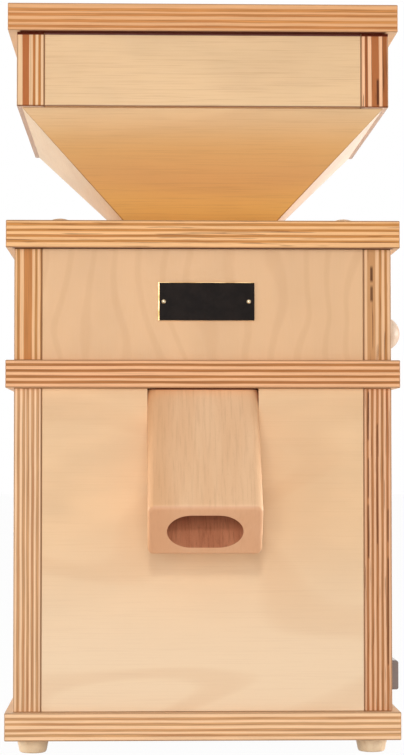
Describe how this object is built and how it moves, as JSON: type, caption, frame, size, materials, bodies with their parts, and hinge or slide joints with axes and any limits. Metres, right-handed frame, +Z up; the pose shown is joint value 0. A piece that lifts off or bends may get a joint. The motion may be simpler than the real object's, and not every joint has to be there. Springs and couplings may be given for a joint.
{
  "type": "electric grain mill",
  "caption": "Plywood electric grain mill: motor tower with slanted spout, millstones behind a badge plate, side lever with ball knob, and a funnel hopper with a loose lid.",
  "frame": {"origin": "centre of the footprint, seen from above, on the floor under the feet", "axes": "+Z up; the front, with the badge and the spout, faces -Y; +X to the right as seen from the front"},
  "size_m": [0.1852, 0.2125, 0.3245],
  "materials": {
    "board_ply": "birch plywood, sanded and oiled",
    "side_ply": "birch plywood, sanded and oiled",
    "front_veneer": "birch plywood face, sanded and oiled",
    "funnel_veneer": "birch plywood face, sanded and oiled",
    "feet_beech": "beech, turned and oiled",
    "spout_beech": "solid beech, sanded and oiled",
    "knob_beech": "beech ball, varnished",
    "zinc_steel": "zinc-plated",
    "badge_black": "bare black enamel on brass, no lettering",
    "nail_brass": "polished",
    "switch_grey": "fine matt",
    "rocker_grey": "satin",
    "gland_black": "fine matt",
    "cast_aluminium": "as cast",
    "motor_paint": "satin",
    "core_steel": "laminated",
    "copper_wire": "varnished copper",
    "bearing_steel": "ground",
    "capacitor_plastic": "smooth",
    "lead_plastic": "smooth insulation",
    "fan_plastic": "smooth",
    "millstone": "matt ceramic, opaque",
    "ring_steel": "turned",
    "spring_steel": "drawn wire",
    "tube_steel": "drawn, satin"
  },
  "bodies": {
    "housing": {"base_board": "board_ply", "feet": "feet_beech", "short_screws": "zinc_steel", "long_screws": "zinc_steel", "lower_left_panel": "side_ply", "lower_right_panel": "side_ply", "lower_front_panel": "front_veneer", "lower_back_panel": "front_veneer", "middle_board": "board_ply", "dowels": "feet_beech", "upper_left_panel": "side_ply", "upper_right_panel": "side_ply", "upper_front_panel": "front_veneer", "upper_back_panel": "front_veneer", "corner_blocks": "board_ply", "top_board": "board_ply", "top_screws": "zinc_steel", "cover_plugs": "feet_beech", "hopper_left_board": "side_ply", "hopper_right_board": "side_ply", "hopper_front_board": "front_veneer", "hopper_back_board": "front_veneer", "funnel_front_board": "funnel_veneer", "funnel_right_board": "funnel_veneer", "funnel_back_board": "funnel_veneer", "funnel_left_board": "funnel_veneer", "spout": "spout_beech", "badge_plate": "badge_black", "badge_nails": "nail_brass", "switch_housing": "switch_grey", "cable_gland": "gland_black", "gland_nut": "gland_black", "motor_flange": "cast_aluminium", "motor_shell": "motor_paint", "motor_end_shield": "cast_aluminium", "stator_core": "core_steel", "windings": "copper_wire", "tie_bolts": "zinc_steel", "motor_bolts": "zinc_steel", "bearing_outer_rings": "bearing_steel", "capacitor": "capacitor_plastic", "capacitor_clamp": "zinc_steel", "motor_leads": "lead_plastic", "flour_chamber": "cast_aluminium", "pressure_springs": "spring_steel", "feed_tube": "tube_steel"},
    "lid": {"lid_board": "board_ply", "lid_cleat": "board_ply"},
    "rotor": {"rotor_shaft": "bearing_steel", "rotor_core": "core_steel", "bearing_inner_rings": "bearing_steel", "cooling_fan": "fan_plastic", "runner_hub": "cast_aluminium", "runner_stone": "millstone", "shaft_nut": "zinc_steel"},
    "adjuster": {"adjusting_ring": "ring_steel", "lever_knob": "knob_beech"},
    "stone_set": {"fixed_stone": "millstone", "stone_carrier": "cast_aluminium"},
    "rocker": {"switch_rocker": "rocker_grey"}
  },
  "joints": [
    {"name": "rotor_spin", "type": "hinge", "parent": "housing", "child": "rotor", "pos_m": [-0.0074, 0.0145, 0.12], "axis": [0, 0, 1], "continuous": true},
    {"name": "lever_turn", "type": "hinge", "parent": "housing", "child": "adjuster", "pos_m": [-0.0074, 0.0145, 0.188], "axis": [0, 0, 1], "range_deg": [-47, 0]},
    {"name": "stone_lift", "type": "slide", "parent": "housing", "child": "stone_set", "axis": [0, 0, 1], "range_m": [-0.0016, 0], "deforming": ["pressure_springs"]},
    {"name": "lid_lift", "type": "slide", "parent": "housing", "child": "lid", "axis": [0, 0, 1], "range_m": [0, 0.09]},
    {"name": "switch_rock", "type": "hinge", "parent": "housing", "child": "rocker", "pos_m": [0.07315, -0.04375, 0.0322], "axis": [0, 0, 1], "range_deg": [-18, 0]}
  ],
  "couplings": [
    {"joint": "stone_lift", "follows": "lever_turn", "m_per_rad": 0.0019099}
  ]
}
